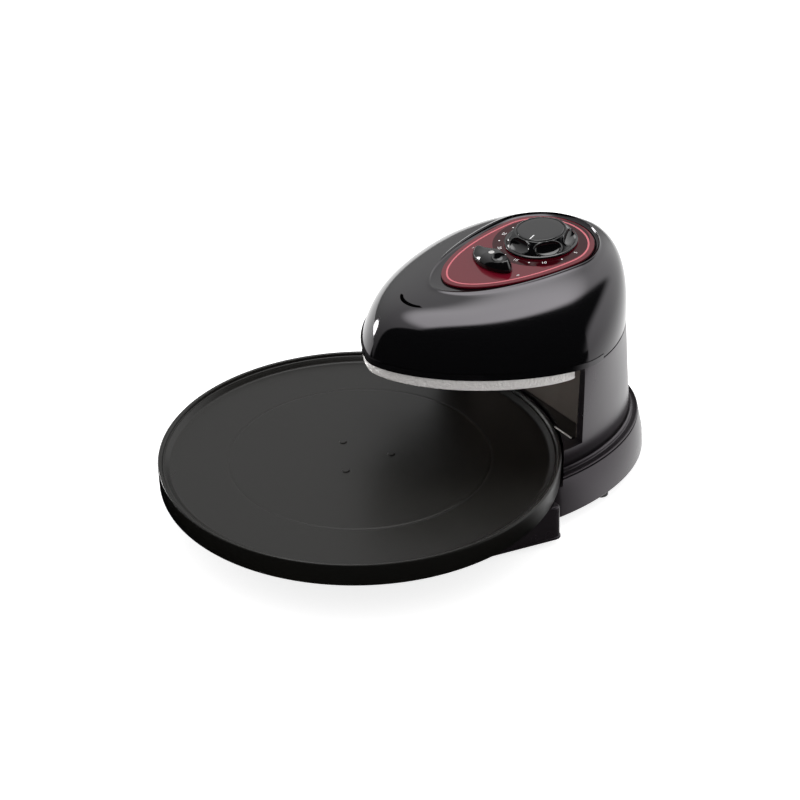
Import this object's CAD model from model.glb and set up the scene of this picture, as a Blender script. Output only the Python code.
import math

import bmesh
import bpy
from mathutils import Matrix, Vector


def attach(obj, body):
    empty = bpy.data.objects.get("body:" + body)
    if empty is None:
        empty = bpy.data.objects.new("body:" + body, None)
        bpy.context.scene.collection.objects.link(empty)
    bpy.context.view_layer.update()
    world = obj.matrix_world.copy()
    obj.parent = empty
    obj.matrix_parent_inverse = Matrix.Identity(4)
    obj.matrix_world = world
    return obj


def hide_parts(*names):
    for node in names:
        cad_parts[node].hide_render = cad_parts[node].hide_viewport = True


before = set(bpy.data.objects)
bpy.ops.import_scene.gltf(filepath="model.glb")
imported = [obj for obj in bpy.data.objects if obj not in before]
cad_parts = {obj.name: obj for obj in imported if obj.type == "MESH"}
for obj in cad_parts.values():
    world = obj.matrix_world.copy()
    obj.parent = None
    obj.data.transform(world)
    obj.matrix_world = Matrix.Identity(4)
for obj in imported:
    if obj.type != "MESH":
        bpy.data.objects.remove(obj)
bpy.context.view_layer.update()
print("frame loaded:", len(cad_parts), "nodes")

# lengths are in millimetres until put() turns them into the frame's metres
mm = 0.001
panY = -55.0                              # the pan's axis on Y
ledgeZ, deckZ, sillZ = 43.5, 37.0, 60.0   # the tower's foot, the platform's top, the throat's floor
seamZ, headZ = 140.0, 140.3               # the tower's top and the head's lower edge


# camera

camera = {"place": (1185.2, -813.7, 938.8), "target": (-46.35, 17.03, 60.0), "lens": 90.0,
          "roll": -0.64, "sensor": 36.0, "clip": (0.05, 50.0)}


def makeCamera():
    place, target = Vector(camera["place"]) * mm, Vector(camera["target"]) * mm
    data = bpy.data.cameras.new("productCamera")
    data.sensor_width, data.lens = camera["sensor"], camera["lens"]
    data.clip_start, data.clip_end = camera["clip"]
    cam = bpy.data.objects.new("productCamera", data)
    bpy.context.scene.collection.objects.link(cam)
    aim = (target - place).to_track_quat("-Z", "Y").to_matrix()
    roll = Matrix.Rotation(math.radians(camera["roll"]), 3, "Z")
    cam.matrix_world = Matrix.Translation(place) @ (aim @ roll).to_4x4()
    bpy.context.scene.camera = cam


makeCamera()
print("camera placed")


# outlines shared by the mouldings; an egg is: centre reach, front length, half width, front power,
# rear length, rear power, where reach is measured from the pan's axis towards the tower

eggs = {
    "skirt": (122.0, 62.0, 118.5, 1.8, 155.0, 2.06),
    "towerFoot": (134.0, 60.0, 98.5, 1.75, 134.5, 1.95),
    "head": (152.0, 140.5, 108.5, 1.6, 106.0, 1.64),
    "upperTray": (138.0, 125.5, 104.0, 1.6, 9.0, 5.0),
    "panel": (186.0, 98.6, 48.0, 1.9, 41.2, 2.0),
    "recess": (186.0, 111.6, 53.0, 1.8, 44.7, 2.0),
}
# the panel's plane, and the reach of the two dials on it
panelPlane = {"z": 197.9, "reach": 185.3, "tilt": 5.2, "timer": 185.3, "selector": 134.3}

# the crown's height: over the middle, along the reach, across, and how its edge rounds over
crown = {"top": 57.8, "rise": 19.5, "bow": 4.0, "droop": 8.6, "across": 27.0, "middle": 130.0,
         "nose": 11.5, "length": 246.5, "edge": (10.0, 1.9), "round": (1.0, 1.93)}


def inset(egg, d, rear=1.0):
    return (egg[0], egg[1] - d, egg[2] - d, egg[3], egg[4] - d * rear, egg[5])


def mix(a, b, t):
    return tuple(p * (1 - t) + q * t for p, q in zip(a, b))


def eggPoint(egg, turn, scale=1.0):
    c, s = math.cos(turn), math.sin(turn)
    power, length = (egg[3], egg[1]) if s < 0 else (egg[5], egg[4])
    x = scale * egg[2] * math.copysign(abs(c) ** (2 / power), c)
    y = egg[0] + scale * length * math.copysign(abs(s) ** (2 / power), s)
    return x, y


def headScale(x, y):
    egg = eggs["head"]
    power, length = (egg[3], egg[1]) if y < egg[0] else (egg[5], egg[4])
    return ((abs(x) / egg[2]) ** power + (abs(y - egg[0]) / length) ** power) ** (1 / power)


def crownTop(x, y):
    u, v = (y - crown["middle"]) / 100.0, x / 100.0
    along = crown["top"] + crown["rise"] * u - crown["bow"] * u * u - crown["droop"] * u ** 3
    return along - crown["across"] * v ** 2


def crownZ(x, y, scale=None):
    at = min(1.0, max(0.0, (y - crown["nose"]) / crown["length"]))
    scale = min(1.0, headScale(x, y)) if scale is None else scale
    (edge, edgeMore), (bend, bendMore) = crown["edge"], crown["round"]
    share = max(0.0, 1 - scale ** (edge + edgeMore * at)) ** (1 / (bend + bendMore * at))
    return headZ + crownTop(x, y) * share


def panelZ(y):
    return panelPlane["z"] + math.tan(math.radians(panelPlane["tilt"])) * (y - panelPlane["reach"])


def put(x, y, z):
    return Vector((x, y + panY, z)) * mm


def onPanel(reach):
    return (Matrix.Translation(put(0, reach, panelZ(reach)))
            @ Matrix.Rotation(math.radians(panelPlane["tilt"]), 4, "X"))


# mesh helpers

weldWithin = 0.00001


def finishMesh(bm, name, recalc=True):
    bmesh.ops.remove_doubles(bm, verts=bm.verts, dist=weldWithin)
    if recalc:
        bmesh.ops.recalc_face_normals(bm, faces=bm.faces)
    mesh = bpy.data.meshes.new(name)
    bm.to_mesh(mesh)
    bm.free()
    piece = bpy.data.objects.new(name, mesh)
    bpy.context.scene.collection.objects.link(piece)
    return piece


def chain(bm, points):
    line = [bm.verts.new(point) for point in points]
    return line, [bm.edges.new(pair) for pair in zip(line, line[1:])]


# a closed form: each ring gives a point for a turn; the line of rings is spun once, then every
# vertex is moved from its ring and turn to the ring's own point
def stations(name, rings, steps, caps="", place=None):
    bm = bmesh.new()
    line, edges = chain(bm, [(i + 1.0, 0, 0) for i in range(len(rings))])
    bmesh.ops.spin(bm, geom=line + edges, cent=(0, 0, 0), axis=(0, 0, 1), angle=math.tau,
                   steps=steps, use_merge=True)
    for end, index in (("first", 0), ("last", len(rings) - 1)):
        if end in caps:
            rim = [e for e in bm.edges if all(abs(v.co.length - index - 1) < 0.01 for v in e.verts)]
            bmesh.ops.contextual_create(bm, geom=rim)
    for v in bm.verts:
        x, y, z = rings[round(v.co.length) - 1](math.atan2(v.co.y, v.co.x))
        v.co = put(x, y, z) if place is None else place @ (Vector((x, y, z)) * mm)
    return finishMesh(bm, name)


def eggRing(egg, z, scale=1.0):
    return lambda turn: (*eggPoint(egg, turn, scale), z)


def circleRing(r, z, cy=0.0):
    return lambda turn: (r * math.cos(turn), cy + r * math.sin(turn), z)


def rod(bm, r, depth, segments):
    bmesh.ops.create_cone(bm, cap_ends=True, segments=segments, radius1=r * mm, radius2=r * mm,
                          depth=depth * mm)


def settle(piece):
    seen = piece.evaluated_get(bpy.context.evaluated_depsgraph_get())
    mesh = bpy.data.meshes.new_from_object(seen)
    piece.modifiers.clear()
    piece.data = mesh
    return piece


def carve(piece, *tools, operation="DIFFERENCE"):
    for tool in tools:
        cut = piece.modifiers.new("carve", "BOOLEAN")
        cut.object, cut.operation, cut.solver = tool, operation, "EXACT"
        settle(piece)
        bpy.data.objects.remove(tool)
    return piece


def block(name, low, high):
    bm = bmesh.new()
    bmesh.ops.create_cube(bm, size=1.0)
    low, high = put(*low), put(*high)
    bmesh.ops.scale(bm, verts=bm.verts, vec=high - low)
    bmesh.ops.translate(bm, verts=bm.verts, vec=(low + high) / 2)
    return finishMesh(bm, name)


# a six-sided form with leaning sides: low and high are (x from, x to, y from, y to, z)
def room(name, low, high):
    bm = bmesh.new()
    bmesh.ops.create_cube(bm, size=2.0)
    for v in bm.verts:
        x0, x1, y0, y1, z = high if v.co.z > 0 else low
        v.co = put(x1 if v.co.x > 0 else x0, y1 if v.co.y > 0 else y0, z)
    return finishMesh(bm, name)


def drum(name, centre, r, low, high, segments=192):
    bm = bmesh.new()
    rod(bm, r, high - low, segments)
    bmesh.ops.translate(bm, verts=bm.verts, vec=put(centre[0], centre[1], (low + high) / 2))
    return finishMesh(bm, name)


def smooth(piece, angle=30):
    piece.data.shade_smooth()
    piece.data.set_sharp_from_angle(angle=math.radians(angle))
    return piece


def dress(piece, material, body, replaces=()):
    piece.data.materials.clear()
    piece.data.materials.append(material)
    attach(piece, body)
    if replaces:
        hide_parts(*replaces)
    return piece


def solidify(piece, thickness):
    wall = piece.modifiers.new("wall", "SOLIDIFY")
    wall.thickness, wall.offset, wall.use_even_offset = thickness * mm, -1.0, False
    return settle(piece)


print("helpers ready")


# materials

def nodesOf(name):
    mat = bpy.data.materials.new(name)
    mat.use_nodes = True
    tree = mat.node_tree
    return mat, tree, tree.nodes["Principled BSDF"]


def link(tree, a, b):
    tree.links.new(a, b)


def makeGroup(name, inputs, outputs, build):
    tree = bpy.data.node_groups.new(name, "ShaderNodeTree")
    for label, kind, value in inputs:
        socket = tree.interface.new_socket(label, in_out="INPUT", socket_type=kind)
        if value is not None:
            socket.default_value = value
    for label, kind in outputs:
        tree.interface.new_socket(label, in_out="OUTPUT", socket_type=kind)
    build(tree, tree.nodes.new("NodeGroupInput"), tree.nodes.new("NodeGroupOutput"))
    return tree


def node(tree, kind, **values):
    made = tree.nodes.new(kind)
    for key, value in values.items():
        setattr(made, key, value)
    return made


grain = {"detail": 3.0, "roughness": 0.55, "patchScale": 9.0, "patchDetail": 4.0, "patch": (0.3, 0.7)}


def buildGrain(tree, gin, gout):
    noise = node(tree, "ShaderNodeTexNoise")
    link(tree, gin.outputs["Vector"], noise.inputs["Vector"])
    link(tree, gin.outputs["Scale"], noise.inputs["Scale"])
    noise.inputs["Detail"].default_value = grain["detail"]
    noise.inputs["Roughness"].default_value = grain["roughness"]
    big = node(tree, "ShaderNodeTexNoise")
    link(tree, gin.outputs["Vector"], big.inputs["Vector"])
    big.inputs["Scale"].default_value = grain["patchScale"]
    big.inputs["Detail"].default_value = grain["patchDetail"]
    spread = node(tree, "ShaderNodeMapRange")
    link(tree, big.outputs["Fac"], spread.inputs["Value"])
    spread.inputs["From Min"].default_value, spread.inputs["From Max"].default_value = grain["patch"]
    link(tree, gin.outputs["Rough Low"], spread.inputs["To Min"])
    link(tree, gin.outputs["Rough High"], spread.inputs["To Max"])
    link(tree, noise.outputs["Fac"], gout.inputs["Height"])
    link(tree, spread.outputs["Result"], gout.inputs["Roughness"])


surfaceGrain = makeGroup(
    "surfaceGrain",
    [("Vector", "NodeSocketVector", None), ("Scale", "NodeSocketFloat", 600.0),
     ("Rough Low", "NodeSocketFloat", 0.15), ("Rough High", "NodeSocketFloat", 0.25)],
    [("Height", "NodeSocketFloat"), ("Roughness", "NodeSocketFloat")], buildGrain)


# rough is the lowest and the highest roughness; depth and distance belong to the bump
def grained(name, colour, rough, scale=600.0, depth=0.02, metallic=0.0, ior=1.5, distance=0.0003,
            tint=(1.0, 1.0, 1.0)):
    mat, tree, shader = nodesOf(name)
    place = node(tree, "ShaderNodeTexCoord")
    group = node(tree, "ShaderNodeGroup", node_tree=surfaceGrain)
    link(tree, place.outputs["Object"], group.inputs["Vector"])
    group.inputs["Scale"].default_value = scale
    group.inputs["Rough Low"].default_value, group.inputs["Rough High"].default_value = rough
    bump = node(tree, "ShaderNodeBump")
    bump.inputs["Strength"].default_value = depth
    bump.inputs["Distance"].default_value = distance
    link(tree, group.outputs["Height"], bump.inputs["Height"])
    link(tree, bump.outputs["Normal"], shader.inputs["Normal"])
    link(tree, group.outputs["Roughness"], shader.inputs["Roughness"])
    shader.inputs["Base Color"].default_value = (*colour, 1)
    shader.inputs["Metallic"].default_value = metallic
    shader.inputs["IOR"].default_value = ior
    shader.inputs["Specular Tint"].default_value = (*tint, 1)
    return mat


glossBlack = grained("glossBlack", (0.003, 0.003, 0.0034), (0.08, 0.12), depth=0.01, ior=1.46,
                     tint=(0.99, 0.94, 1.0))
towerBlack = grained("towerBlack", (0.014, 0.0115, 0.0135), (0.24, 0.32), depth=0.03, ior=1.47,
                     tint=(1.0, 0.91, 1.0))
knobBlack = grained("knobBlack", (0.003, 0.003, 0.0035), (0.07, 0.11), depth=0.01, ior=1.46)
panCoat = grained("panCoat", (0.006, 0.0055, 0.0045), (0.27, 0.4), scale=900.0, depth=0.1, ior=1.31)
rubber = grained("rubber", (0.012, 0.012, 0.012), (0.7, 0.85), depth=0.15)
steel = grained("steel", (0.55, 0.54, 0.53), (0.28, 0.38), metallic=1.0)
pebbled = grained("pebbledSheet", (0.9, 0.87, 0.85), (0.34, 0.46), scale=420.0, depth=1.0,
                  metallic=0.25, distance=0.002)
lipMetal = grained("lipMetal", (0.75, 0.73, 0.7), (0.25, 0.35), metallic=0.4)
linerSheet = grained("linerSheet", (0.44, 0.38, 0.34), (0.18, 0.26), scale=300.0, depth=0.1,
                     metallic=0.7)
linerFloor = grained("linerFloor", (0.014, 0.013, 0.012), (0.25, 0.35), metallic=0.4)
coverPlastic = grained("coverPlastic", (0.012, 0.012, 0.013), (0.45, 0.6), depth=0.2)
ceramic = grained("ceramic", (0.62, 0.58, 0.48), (0.55, 0.7), depth=0.1)
rodMetal = grained("rodMetal", (0.2, 0.18, 0.165), (0.4, 0.55), metallic=1.0, depth=0.1)
panelRed = grained("panelRed", (0.12, 0.004, 0.012), (0.07, 0.11), depth=0.01, ior=1.38)
printRed = grained("printRed", (0.6, 0.13, 0.16), (0.12, 0.18), ior=1.38)
printDark = grained("printDark", (0.03, 0.001, 0.003), (0.07, 0.11), ior=1.25)
printWhite = grained("printWhite", (0.85, 0.85, 0.85), (0.3, 0.4))
print("materials ready")


# base

platformSize = {"halfWidth": 138.0, "rear": 107.0, "front": 80.0, "taper": 11.0, "round": 58.0,
                "rearRound": 5.0}
well = {"r": 169.0}


# the platform's outline, drawn in by d: two small rear corners, two large front ones, tapered sides
def platformRing(d, z):
    p = platformSize
    t = math.radians(p["taper"])
    frontY = p["round"] - p["front"]
    frontX = p["halfWidth"] - p["round"] / math.cos(t) - (p["rear"] - frontY) * math.tan(t)
    rearX = p["halfWidth"] - p["rearRound"] / math.cos(t) - p["rearRound"] * math.tan(t)
    rearY = p["rear"] - p["rearRound"]
    r1, r2 = p["round"] - d, p["rearRound"] - d

    def arc(cx, cy, r, a, b, steps):
        return [(cx + r * math.cos(a + (b - a) * i / steps), cy + r * math.sin(a + (b - a) * i / steps))
                for i in range(steps + 1)]
    path = (arc(rearX, rearY, r2, -t, math.pi / 2, 6)
            + arc(-rearX, rearY, r2, math.pi / 2, math.pi + t, 6)
            + arc(-frontX, frontY, r1, math.pi + t, 1.5 * math.pi, 24)
            + arc(frontX, frontY, r1, 1.5 * math.pi, math.tau - t, 24))
    lengths = [0.0]
    for a, b in zip(path, path[1:] + path[:1]):
        lengths.append(lengths[-1] + math.dist(a, b))

    def at(turn):
        goal = (turn % math.tau) / math.tau * lengths[-1]
        i = next(k for k in range(len(path)) if lengths[k + 1] >= goal - 1e-9)
        a, b = path[i], path[(i + 1) % len(path)]
        f = (goal - lengths[i]) / max(1e-9, lengths[i + 1] - lengths[i])
        return a[0] + (b[0] - a[0]) * f, a[1] + (b[1] - a[1]) * f, z
    return at


def makeBase():
    skirt, foot = eggs["skirt"], eggs["towerFoot"]
    top = inset(skirt, 5.5)
    rings = [eggRing(inset(skirt, d), z) for d, z in
             ((0.6, 10.0), (0.0, 10.8), (1.0, 24.0), (4.9, 41.4), (5.3, 42.2), (7.0, 42.3), (7.0, 43.3))]
    rings += [eggRing(mix(top, foot, t), z) for t, z in
              ((0.02, 43.4), (0.0, 43.9), (0.02, 44.35), (0.06, 44.5), (0.14, 44.5), (0.2, 44.2),
               (0.3, 43.6), (0.42, 43.1), (0.5, 42.95), (0.56, 42.7), (0.6, 42.95), (0.7, 42.9),
               (0.78, 43.2), (0.84, 43.7), (0.88, 43.7), (0.9, 43.3), (0.905, 41.2), (1.06, 41.0))]
    piece = stations("baseMoulding", rings, 288, caps="first last")
    profile = ((-0.4, 6), (-1, 6.5), (-1, 7.9), (-0.5, 8.3), (0, 8.4), (0.6, deckZ - 2.6),
               (0.9, deckZ - 1.2), (1.6, deckZ - 0.4), (3, deckZ))
    platform = stations("platform", [platformRing(d, z) for d, z in profile], 288, caps="first last")
    carve(piece, platform, operation="UNION")
    carve(piece, drum("well", (0, 0), well["r"], deckZ, 90.0, 256))
    return dress(smooth(piece), towerBlack, "base", ["base_shell"])


makeBase()
print("base built")


# tower

tower = {"jamb": 156.5, "lean": 8.5, "throatRear": 172.0, "throatHalf": 90.5, "flare": 12.0,
         "wall": 3.0, "steps": 12}


def rise(z):
    return (z - sillZ) / (seamZ - sillZ)


def jambAt(z):
    return tower["jamb"] - tower["lean"] * rise(z)


def throatHalf(z):
    return tower["throatHalf"] + tower["flare"] * rise(z)


def towerRing(z, d=0.0):
    at = (z - ledgeZ) / (seamZ - ledgeZ)
    return eggRing(inset(mix(eggs["towerFoot"], eggs["head"], at), d), z)


def throatRoom(name, reach, low, high):
    a, b = throatHalf(low), throatHalf(high)
    return room(name, (-a, a, -100, reach, low), (-b, b, -100, reach, high))


def makeTower():
    rings = [towerRing(41.3, 0.6), towerRing(41.9)]
    rings += [towerRing(ledgeZ + (seamZ - ledgeZ) * i / tower["steps"]) for i in range(1, tower["steps"])]
    rings += [towerRing(seamZ - down, d) for down, d in ((1.5, 0.0), (1.2, 0.25), (1.15, 1.1), (0, 1.1))]
    piece = stations("towerMoulding", rings, 288, caps="first last")
    wall = tower["wall"]
    hollow = stations("hollow", [towerRing(41.0, wall), towerRing(seamZ + 1, wall)], 144,
                      caps="first last")
    carve(hollow,
          block("frontRoom", (-200, -100, sillZ - wall), (200, tower["throatRear"] + wall, 260)),
          drum("wellRoom", (0, 0), well["r"] + wall, 0.0, sillZ, 128))
    front = room("front", (-200, 200, -200, jambAt(sillZ), sillZ),
                 (-200, 200, -200, jambAt(230.0), 230.0))
    opening = throatRoom("throat", tower["throatRear"], sillZ, seamZ + 2)
    carve(opening, front, operation="UNION")
    carve(piece, opening, hollow, drum("well", (0, 0), well["r"], 0.0, sillZ + 1, 256))
    return dress(smooth(piece), towerBlack, "base", ["tower_shell"])


makeTower()
print("tower built")


# throat liner: bent sheet for the sides and the rear, with a floor that ends in a bright lip

linerSize = {"sheet": 0.8, "gap": 0.3, "lip": 5.0, "corner": 5.0, "rows": 8, "groove": 0.35,
             "barR": 0.75, "bar": 22.0}


def linerOutline(z, back):
    half, front = throatHalf(z) - linerSize["gap"] - linerSize["sheet"] / 2, jambAt(z) + 0.4
    r = linerSize["corner"]
    line = [(half, front), (half, front + 1.0)]
    line += [(half - r + r * math.cos(a), back - r + r * math.sin(a))
             for a in (math.radians(k * 15) for k in range(7))]
    line += [(half * 0.55, back), (half * 0.52, back - linerSize["groove"]), (half * 0.49, back),
             (half * 0.2, back)]
    return [put(x, y, z) for x, y in line + [(-x, y) for x, y in reversed(line)]]


def makeLinerWall(back, low, high):
    bm = bmesh.new()
    old = linerOutline(low, back)
    edges = chain(bm, old)[1]
    for i in range(1, linerSize["rows"] + 1):
        made = bmesh.ops.extrude_edge_only(bm, edges=edges)["geom"]
        edges = [e for e in made if isinstance(e, bmesh.types.BMEdge)]
        new = linerOutline(low + (high - low) * i / linerSize["rows"], back)
        for v in (v for v in made if isinstance(v, bmesh.types.BMVert)):
            v.co = new[min(range(len(old)), key=lambda k: (v.co - old[k]).length)]
        old = new
    wall = finishMesh(bm, "linerWall")
    bend = wall.modifiers.new("wall", "SOLIDIFY")
    bend.thickness, bend.offset = linerSize["sheet"] * mm, 0.0
    settle(wall)
    dress(smooth(wall, 40), linerSheet, "base", ["throat_liner"])


def makeLiner():
    gap, sheet = linerSize["gap"], linerSize["sheet"]
    back = tower["throatRear"] - gap - sheet / 2
    low, high = sillZ + gap, seamZ - gap
    makeLinerWall(back, low, high)
    half, edge = throatHalf(low) - gap - 1.2, tower["jamb"] - linerSize["lip"]
    section = (-half, half, edge + 1.2, back - 1.2)
    floor = room("linerFloorSheet", (*section, low), (*section, low + sheet))
    carve(floor, drum("panRoom", (0, 0), well["r"] + 0.5, 0, 90, 256))
    dress(smooth(floor), linerFloor, "base")
    for side in (-1, 1):
        bm = bmesh.new()
        rod(bm, linerSize["barR"], linerSize["bar"], 20)
        bmesh.ops.rotate(bm, verts=bm.verts, matrix=Matrix.Rotation(math.pi / 2, 3, "Y"))
        bmesh.ops.translate(bm, verts=bm.verts,
                            vec=put(side * (half - linerSize["bar"] / 2), edge + 1, low + linerSize["barR"]))
        dress(smooth(finishMesh(bm, "linerLip")), lipMetal, "base")
    top = throatHalf(high) - gap - 1.0
    section = (-top, top, jambAt(high) + 0.4, back - 1.0)
    roof = room("linerRoof", (*section, high - sheet), (*section, high))
    dress(smooth(roof), linerSheet, "base")


makeLiner()
print("liner built")


# head

head = {"shell": 2.6, "panelThick": 1.4, "blendFrom": 0.935, "edgeRows": 22, "edgeWidth": 0.065}
notch = {"reach": 46.0, "depth": 2.5, "r": 20.0, "centre": 66.0, "shift": 3.2, "half": 17.0, "rear": 53.0}


# the head's rings: scaleRing on the rolled edge, blendRing across the crown to the recess,
# slopeRing down the recess, pocketRing round the panel's seat
def blendRing(t, lift=0.0):
    def at(turn):
        a = eggPoint(eggs["head"], turn, head["blendFrom"])
        b = eggPoint(eggs["recess"], turn)
        x, y = mix(a, b, t)
        return x, y, crownZ(x, y) + lift
    return at


def scaleRing(s, z=None):
    def at(turn):
        x, y = eggPoint(eggs["head"], turn, s)
        return x, y, crownZ(x, y, s) if z is None else z
    return at


def pocketRing(lift, grow=0.0, scale=1.0):
    def at(turn):
        x, y = eggPoint(inset(eggs["panel"], -grow), turn, scale)
        return x, y, panelZ(y) + lift
    return at


def slopeRing(t, drop=0.0):
    def at(turn):
        a = eggPoint(eggs["recess"], turn)
        b = eggPoint(inset(eggs["panel"], -0.35), turn)
        x, y = a[0] + (b[0] - a[0]) * t, a[1] + (b[1] - a[1]) * t
        z = crownZ(*a) * (1 - t) + (panelZ(b[1]) - 0.7) * t
        return x, y, z - drop
    return at


def makeHead():
    rows, width = head["edgeRows"], head["edgeWidth"]
    rings = [scaleRing(0.9965, headZ), scaleRing(0.9985, headZ + 0.05), scaleRing(1.0, headZ + 0.5)]
    rings += [scaleRing(1 - width * (i / rows) ** 3) for i in range(1, rows)]
    rings += [blendRing(t) for t in (0, 0.025, 0.055, 0.09, 0.13, 0.18, 0.24, 0.31, 0.39, 0.48, 0.58,
                                     0.68, 0.77, 0.85, 0.91)]
    rings += [blendRing(t, lift) for t, lift in
              ((0.945, 0.1), (0.965, 0.3), (0.982, 0.6), (0.994, 0.75), (1.0, 0.7))]
    rings += [slopeRing(t, drop) for t, drop in
              ((0.05, -0.5), (0.11, -0.1), (0.2, 0.3), (0.5, 0.7), (0.8, 1.0))]
    rings += [pocketRing(-1.7, 0.9), pocketRing(-1.95, 0.3), pocketRing(-2.0, -3)]
    piece = stations("headMoulding", rings, 320)
    solidify(piece, head["shell"])
    z, r, half, rear = crownZ(0, notch["reach"]), notch["r"], notch["half"], notch["rear"]
    arc = drum("notchArc", (0, notch["centre"]), r, z - notch["depth"], z + 8, 96)
    carve(arc, drum("notchBack", (0, notch["centre"] + notch["shift"]), r, z - 8, z + 9, 96),
          block("left", (-60, 0, z - 9), (-half, 100, z + 9)),
          block("right", (half, 0, z - 9), (60, 100, z + 9)),
          block("rear", (-60, rear, z - 9), (60, 100, z + 9)))
    carve(piece, arc)
    return dress(smooth(piece, 40), glossBlack, "base", ["upper_housing"])


makeHead()
print("head built")


# control panel, with its printed border, dial band, dots and figures

marks = {"lift": 0.06, "border": (4.2, 1.5), "dialR": 35.6, "bandR": (31.5, 41.0), "dotR": 0.75,
         "figures": ((106, "5"), (56, "10"), (16, "15"), (-26, "20"), (-66, "25"), (-106, "30")),
         "ticks": (81, 36, -5, -46, -86), "figureSize": 4.6, "sides": ((-31, "I"), (31, "II")),
         "sideSize": 3.6}


def printed(name, rings, material, steps, thick, place=None):
    piece = stations(name, rings, steps, place=place)
    solidify(piece, thick)
    return dress(smooth(piece), material, "base")


def onDial(angle, lift):
    turn = math.radians(angle - 90)
    spot = Vector((marks["dialR"] * math.cos(turn), marks["dialR"] * math.sin(turn), lift)) * mm
    return onPanel(panelPlane["timer"]) @ Matrix.Translation(spot), turn + math.pi / 2


def figure(label, size, place):
    curve = bpy.data.curves.new("figure", "FONT")
    curve.body, curve.size = label, size * mm
    curve.align_x, curve.align_y = "CENTER", "CENTER"
    curve.extrude = 0.03 * mm
    text = bpy.data.objects.new("figure", curve)
    bpy.context.scene.collection.objects.link(text)
    bpy.context.view_layer.update()
    mesh = bpy.data.meshes.new_from_object(text.evaluated_get(bpy.context.evaluated_depsgraph_get()))
    bpy.data.objects.remove(text)
    mesh.transform(place)
    piece = bpy.data.objects.new("dialFigure", mesh)
    bpy.context.scene.collection.objects.link(piece)
    return dress(piece, printWhite, "base")


def makePanel():
    rings = [pocketRing(-head["panelThick"]), pocketRing(-0.35), pocketRing(-0.08, -0.15)]
    rings += [pocketRing(0.0, -0.5, s) for s in (1.0, 0.9, 0.7, 0.4, 0.02)]
    piece = stations("controlPanel", rings, 256, caps="first last")
    dress(smooth(piece, 40), panelRed, "base", ["control_panel"])
    edge, width = marks["border"]
    border = [pocketRing(marks["lift"], -edge), pocketRing(marks["lift"], -edge - width)]
    printed("panelBorder", border, printRed, 256, 0.05)
    printed("dialBand", [circleRing(r, 0.03) for r in marks["bandR"]], printDark, 192, 0.03,
            onPanel(panelPlane["timer"]))
    for angle in marks["ticks"]:
        bm = bmesh.new()
        rod(bm, marks["dotR"], 0.1, 24)
        bmesh.ops.transform(bm, verts=bm.verts, matrix=onDial(angle, 0.06)[0])
        dress(finishMesh(bm, "tickDot"), printWhite, "base")
    for angle, label in marks["figures"]:
        place, spin = onDial(angle, 0.05)
        figure(label, marks["figureSize"], place @ Matrix.Rotation(spin, 4, "Z"))
    for x, label in marks["sides"]:
        figure(label, marks["sideSize"],
               onPanel(panelPlane["selector"]) @ Matrix.Translation(Vector((x, 3, 0.05)) * mm))


makePanel()
print("panel built")


# timer knob: a flange, a flank with dished scoops, a ring groove and a flat top with a pointer

timer = {"h": 11.8, "lift": 0.5, "scoops": 6, "scoopWide": 0.43, "scoopHigh": 0.56, "scoopDeep": 3.6,
         "scoopAt": 0.45, "scoopTurn": -6.0, "rows": 34, "pointerTurn": 24.0,
         "pointer": (1.0, 7.0, 0.1), "pointerReach": -15.0}


def makeTimerKnob():
    place = onPanel(panelPlane["timer"])
    top, low = timer["h"] + timer["lift"], timer["lift"]
    pitch = math.tau / timer["scoops"]

    def flank(t):
        r, z = 29.2 - 7.4 * t, low + 2.6 + (top - low - 3.2) * (t ** 0.92)

        def at(turn):
            off = ((turn + math.radians(timer["scoopTurn"])) % pitch) - pitch / 2
            d = math.hypot(off / timer["scoopWide"], (t - timer["scoopAt"]) / timer["scoopHigh"])
            lip = 0.4 * math.exp(-((d - 1.03) / 0.07) ** 2)
            dish = (timer["scoopDeep"] * max(0.0, 1 - d * d) ** 0.75 - lip) * 0.7
            return (r - dish) * math.cos(turn), (r - dish) * math.sin(turn), z - dish
        return at
    rings = [circleRing(r, low + z) for r, z in ((20.0, 1.0), (22.0, 0), (30.4, 0), (31.0, 0.4),
                                                 (31.0, 1.4), (30.6, 1.8), (29.7, 1.9), (29.4, 2.1))]
    rings += [flank(i / timer["rows"]) for i in range(timer["rows"] + 1)]
    rings += [circleRing(r, top - z) for r, z in
              ((21.2, 0.35), (20.8, 0.5), (20.4, 1.3), (19.9, 1.3), (19.6, 0.5), (19.2, 0.15),
               (18.4, 0.02), (14.0, 0), (8.0, 0), (0.3, 0))]
    piece = stations("timerKnob", rings, 432, caps="first last", place=place)
    dress(smooth(piece, 45), knobBlack, "timer_dial", ["timer_knob"])
    bm = bmesh.new()
    bmesh.ops.create_cube(bm, size=1.0)
    bmesh.ops.scale(bm, verts=bm.verts, vec=Vector(timer["pointer"]) * mm)
    turned = place @ Matrix.Rotation(math.radians(timer["pointerTurn"]), 4, "Z")
    bmesh.ops.transform(bm, verts=bm.verts, matrix=turned @ Matrix.Translation(
        Vector((0, timer["pointerReach"], top + 0.01)) * mm))
    dress(finishMesh(bm, "timerPointer"), printWhite, "timer_dial")


# selector knob: a long egg whose left end falls away, with a round dimple at the other end

selector = {"l": 24.0, "w": 11.5, "h": 9.5, "power": 1.75, "lift": 0.5, "dimpleR": 8.5, "dimpleX": 11.5,
            "dimpleUp": 3.9, "fallFrom": -3.0, "fallOver": 12.0, "fall": (1.2, 0.34)}


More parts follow.
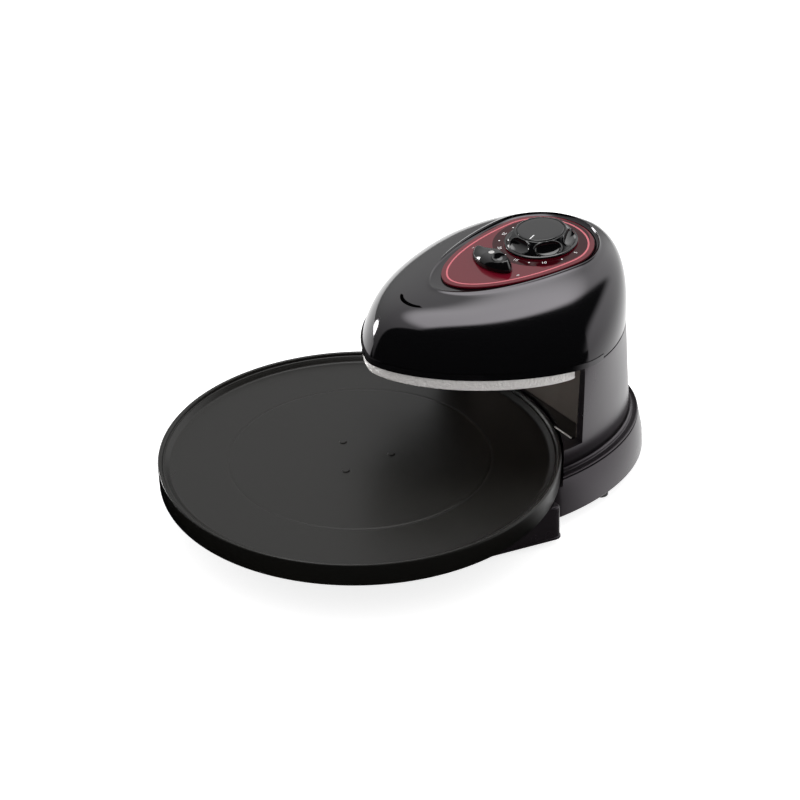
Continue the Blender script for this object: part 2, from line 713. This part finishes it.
def makeSelectorKnob():
    place = onPanel(panelPlane["selector"])
    l, w, h, low = selector["l"], selector["w"], selector["h"], selector["lift"]
    egg = (0.0, w, l, selector["power"], w, selector["power"])
    least, more = selector["fall"]

    def shape(d, z):
        def at(turn):
            x, y = eggPoint(inset(egg, d), turn)
            drop = min(1.0, max(0.0, (selector["fallFrom"] - x) / selector["fallOver"]))
            return x, y, low + z - z / h * drop * (least + more * abs(y))
        return at
    rings = [shape(d, z) for d, z in ((1.2, 0.3), (0.5, 0.0), (0.0, 0.5), (0.0, 2.4), (0.5, 4.0), (1.4, 5.8),
                                      (2.6, 7.4), (3.8, 8.5), (5.0, 9.1), (6.4, 9.4), (8.0, 9.5), (10.5, 9.5))]
    piece = stations("selectorKnob", rings, 288, caps="first last", place=place)
    bm = bmesh.new()
    bmesh.ops.create_uvsphere(bm, u_segments=64, v_segments=32, radius=selector["dimpleR"] * mm)
    bmesh.ops.transform(bm, verts=bm.verts, matrix=place @ Matrix.Translation(
        Vector((selector["dimpleX"], 0, h + low + selector["dimpleUp"])) * mm))
    carve(piece, finishMesh(bm, "dimple"))
    return dress(smooth(piece, 35), knobBlack, "heat_selector", ["selector_knob"])


makeTimerKnob()
makeSelectorKnob()
print("knobs built")


# upper reflector: stepped tray with a rolled lower edge

reflector = {"band": 11.5, "rim": 0.3, "roof": 7.0, "rearShare": 0.3}


def makeReflector():
    low, rim, roof = seamZ - reflector["band"], seamZ - reflector["rim"], seamZ + reflector["roof"]

    def ring(d, z):
        return eggRing(inset(eggs["upperTray"], d, reflector["rearShare"]), z)
    outside = ((16, roof), (7, roof - 1), (5.4, rim), (1.6, rim), (1.0, rim - 0.8), (0.9, low + 1.6),
               (0.6, low + 1.1), (0.7, low + 0.4), (1.1, low))
    inside = ((1.7, low + 0.1), (1.9, low + 0.8), (1.8, rim - 1.4), (2.2, rim - 0.8), (6.2, rim - 0.8),
              (7.8, roof - 1.8), (16, roof - 0.8))
    piece = stations("upperReflector", [ring(d, z) for d, z in outside + inside], 288, caps="first last")
    return dress(smooth(piece, 40), pebbled, "base", ["upper_reflector"])


makeReflector()
print("reflector built")


# pan

pan = {"r": 167.0, "rim": 60.0, "floor": 53.5, "wall": 19.0, "sheet": 1.2, "rimWidth": 9.0}


def makePan():
    r, top, floor, t = pan["r"], pan["rim"], pan["floor"], pan["sheet"]
    inner = r - pan["rimWidth"]
    floorLine = [(0, 0), (60, 0), (106.5, 0), (108, 0), (108.6, -0.25), (109.4, -0.25), (110, 0),
                 (111.5, 0), (inner - 3, 0), (inner - 1.5, 0), (inner - 0.5, 0.35), (inner + 0.2, 1.1)]
    rimLine = [(5.6, 2.8), (4.9, 2.95), (4.2, 2.7), (3.7, 1.5), (3.2, 0.7), (2.4, 0.2), (1.5, 0),
               (0.7, 0.3), (0.2, 0.9), (0, 1.7), (0.1, 6), (0.35, 18.4), (0.6, pan["wall"]),
               (1.2, pan["wall"]), (1.5, 18.4), (1.4, 3), (3.8, 4.3), (5, 4.1)]
    underLine = [(inner + 0.6, -0.1), (inner - 1, -t), (120, -t), (0, -t)]
    line = [(a, floor + b) for a, b in floorLine] + [(r - a, top - b) for a, b in rimLine]
    line += [(a, floor + b) for a, b in underLine]
    piece = stations("turningPan", [circleRing(max(a, 0.001), z) for a, z in line], 320,
                     caps="first last")
    return dress(smooth(piece), panCoat, "pan_body", ["pan"])


makePan()
print("pan built")


# nodes that keep their mesh get finer materials

finish = {
    "bottom_cover": coverPlastic, "rubber_feet": rubber, "bottom_screws": steel, "tower_screws": steel,
    "lower_reflector": pebbled, "lower_element": rodMetal, "lower_element_clips": steel,
    "drive_motor": steel, "motor_screws": steel, "drive_shaft": steel, "drive_hub": coverPlastic,
    "hub_pin": steel, "pan_socket": steel, "pan_rivets": panCoat, "housing_screws": steel,
    "reflector_screws": steel, "upper_element": rodMetal, "upper_element_clips": steel,
    "heat_shield": steel, "thermal_cutoff": ceramic, "timer_body": steel, "timer_nut": steel,
    "timer_shaft": steel, "selector_switch": steel, "selector_nut": steel, "selector_shaft": steel,
    "terminal_block": ceramic, "cord_bush": rubber,
}
for name, material in finish.items():
    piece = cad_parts[name]
    piece.data.materials.clear()
    piece.data.materials.append(material)
print("nodes finished")


# studio: a white floor and sky. A dome and a floor sheet, which only glossy rays see, keep the room
# dark on the camera's side and bright overhead, at the rear and on the left. Edges are pairs that a
# level eases between; a lean is a slope in the plane of x and y

studio = {"world": 0.72, "floorGlow": 0.76, "domeR": 3.0, "floorHalf": 4.0, "sheetHalf": 3.0, "sheetUp": 0.0006}
sky = {"low": 0.3, "climb": 1.3, "band": 4.8, "bandEdge": (0.84, 0.955), "back": 1.2, "backLean": 0.6,
       "backEdge": (-0.1, 0.3), "frontFrom": 0.55, "frontLean": 2.1, "rightEdge": (0.03, 0.13),
       "rearLean": 0.5, "rearEdge": (0.8, 1.0), "lamp": 22.0, "lampAt": (-0.949, -0.308, 0.06),
       "lampEdge": (0.9915, 0.9945)}
ground = {"rear": 1.5, "rearLean": -0.7, "rearEdge": (-0.06, 0.06), "left": 1.3, "leftLean": -0.58,
          "leftEdge": (0.0, 0.08)}


class Sums:

    def __init__(self, tree):
        self.tree = tree

    def op(self, kind, *values):
        made = node(self.tree, "ShaderNodeMath", operation=kind)
        for socket, value in zip(made.inputs, values):
            if isinstance(value, (int, float)):
                socket.default_value = value
            else:
                link(self.tree, value, socket)
        return made.outputs[0]

    def ease(self, value, edge):
        made = node(self.tree, "ShaderNodeMapRange", interpolation_type="SMOOTHSTEP")
        link(self.tree, value, made.inputs["Value"])
        made.inputs["From Min"].default_value, made.inputs["From Max"].default_value = edge
        return made.outputs["Result"]


def glowSheet(name, build, unit):
    mat, tree, shader = nodesOf(name)
    tree.nodes.remove(shader)
    sums = Sums(tree)
    source = node(tree, "ShaderNodeTexCoord").outputs["Object"]
    if unit:
        length = node(tree, "ShaderNodeVectorMath", operation="NORMALIZE")
        link(tree, source, length.inputs[0])
        source = length.outputs["Vector"]
    parts = node(tree, "ShaderNodeSeparateXYZ")
    link(tree, source, parts.inputs[0])
    glow = node(tree, "ShaderNodeEmission")
    link(tree, build(sums, *parts.outputs[:3]), glow.inputs["Strength"])
    link(tree, glow.outputs[0], tree.nodes["Material Output"].inputs["Surface"])
    return mat


def skyLevel(sums, x, y, z):
    front = sums.op("MAXIMUM", sums.op("SUBTRACT", sums.op("MULTIPLY", y, -1.0), sky["frontFrom"]), 0.0)
    right = sums.ease(sums.op("MULTIPLY_ADD", front, sky["frontLean"], x), sky["rightEdge"])
    rear = sums.ease(sums.op("MULTIPLY_ADD", x, sky["rearLean"], y), sky["rearEdge"])
    dark = sums.op("MULTIPLY", right, sums.op("SUBTRACT", 1.0, rear))
    climb = sums.op("MULTIPLY_ADD", z, sky["climb"], sky["low"])
    behind = sums.ease(sums.op("MULTIPLY_ADD", y, sky["backLean"], x), sky["backEdge"])
    back = sums.op("MULTIPLY_ADD", behind, sky["back"], climb)
    bright = sums.op("MULTIPLY_ADD", sums.ease(z, sky["bandEdge"]), sky["band"], back)
    lit = sums.op("MULTIPLY", bright, sums.op("SUBTRACT", 1.0, dark))
    a, b, c = sky["lampAt"]
    toward = sums.op("MULTIPLY_ADD", x, a, sums.op("MULTIPLY_ADD", y, b, sums.op("MULTIPLY", z, c)))
    return sums.op("MULTIPLY_ADD", sums.ease(toward, sky["lampEdge"]), sky["lamp"], lit)


def floorLevel(sums, x, y, z):
    def part(side):
        level = sums.ease(sums.op("MULTIPLY_ADD", x, ground[side + "Lean"], y), ground[side + "Edge"])
        return sums.op("MULTIPLY", level, ground[side])
    return sums.op("MAXIMUM", part("rear"), part("left"))


def unseen(piece):
    piece.visible_camera = piece.visible_diffuse = piece.visible_shadow = False
    piece.visible_transmission = piece.visible_volume_scatter = False


def sheetOf(name, half, up=0.0):
    bm = bmesh.new()
    bmesh.ops.create_grid(bm, x_segments=1, y_segments=1, size=half)
    bmesh.ops.translate(bm, verts=bm.verts, vec=(0, 0, up))
    return finishMesh(bm, name, recalc=False)


def makeReflections():
    bm = bmesh.new()
    bmesh.ops.create_uvsphere(bm, u_segments=48, v_segments=24, radius=studio["domeR"])
    bmesh.ops.bisect_plane(bm, geom=bm.verts[:] + bm.edges[:] + bm.faces[:], plane_co=(0, 0, 0),
                           plane_no=(0, 0, 1), clear_inner=True)
    dome = finishMesh(bm, "skyDome", recalc=False)
    dome.data.materials.append(glowSheet("skyGlow", skyLevel, True))
    unseen(dome)
    sheet = sheetOf("floorSheet", studio["sheetHalf"], studio["sheetUp"])
    sheet.data.materials.append(glowSheet("floorGlow", floorLevel, False))
    unseen(sheet)


def anyRay(tree, *names):
    path = node(tree, "ShaderNodeLightPath")
    found = path.outputs[names[0]]
    for name in names[1:]:
        found = Sums(tree).op("MAXIMUM", found, path.outputs[name])
    return found


def makeFloor():
    floor = sheetOf("floor", studio["floorHalf"])
    mat, tree, shader = nodesOf("paleFloor")
    shader.inputs["Base Color"].default_value = (0.8, 0.8, 0.8, 1)
    shader.inputs["Roughness"].default_value = 0.9
    shader.inputs["Specular IOR Level"].default_value = 0.0
    glow = node(tree, "ShaderNodeEmission")
    seen = anyRay(tree, "Is Camera Ray", "Is Glossy Ray")
    link(tree, Sums(tree).op("MULTIPLY", seen, studio["floorGlow"]), glow.inputs["Strength"])
    both = node(tree, "ShaderNodeAddShader")
    link(tree, shader.outputs[0], both.inputs[0])
    link(tree, glow.outputs[0], both.inputs[1])
    link(tree, both.outputs[0], tree.nodes["Material Output"].inputs["Surface"])
    floor.data.materials.append(mat)


def makeWorld():
    world = bpy.data.worlds.new("studio")
    bpy.context.scene.world = world
    world.use_nodes = True
    tree = world.node_tree
    back = tree.nodes["Background"]
    back.inputs["Color"].default_value = (1, 1, 1, 1)
    level = node(tree, "ShaderNodeMapRange")
    link(tree, anyRay(tree, "Is Camera Ray", "Is Glossy Ray", "Is Transmission Ray"), level.inputs["Value"])
    level.inputs["To Min"].default_value, level.inputs["To Max"].default_value = studio["world"], 1.0
    link(tree, level.outputs["Result"], back.inputs["Strength"])


def softLight(name, place, target, size, power):
    data = bpy.data.lights.new(name, "AREA")
    data.shape, data.size, data.size_y = "RECTANGLE", size[0], size[1]
    data.energy = power
    lamp = bpy.data.objects.new(name, data)
    bpy.context.scene.collection.objects.link(lamp)
    lamp.visible_glossy = False
    lamp.location = place
    lamp.rotation_euler = (Vector(target) - Vector(place)).to_track_quat("-Z", "Y").to_euler()


makeFloor()
makeWorld()
makeReflections()
softLight("overhead", (-0.5, 0.35, 1.7), (0, 0, 0.1), (1.2, 1.2), 16.0)
print("studio lit")

bpy.context.scene.view_settings.view_transform = "Standard"
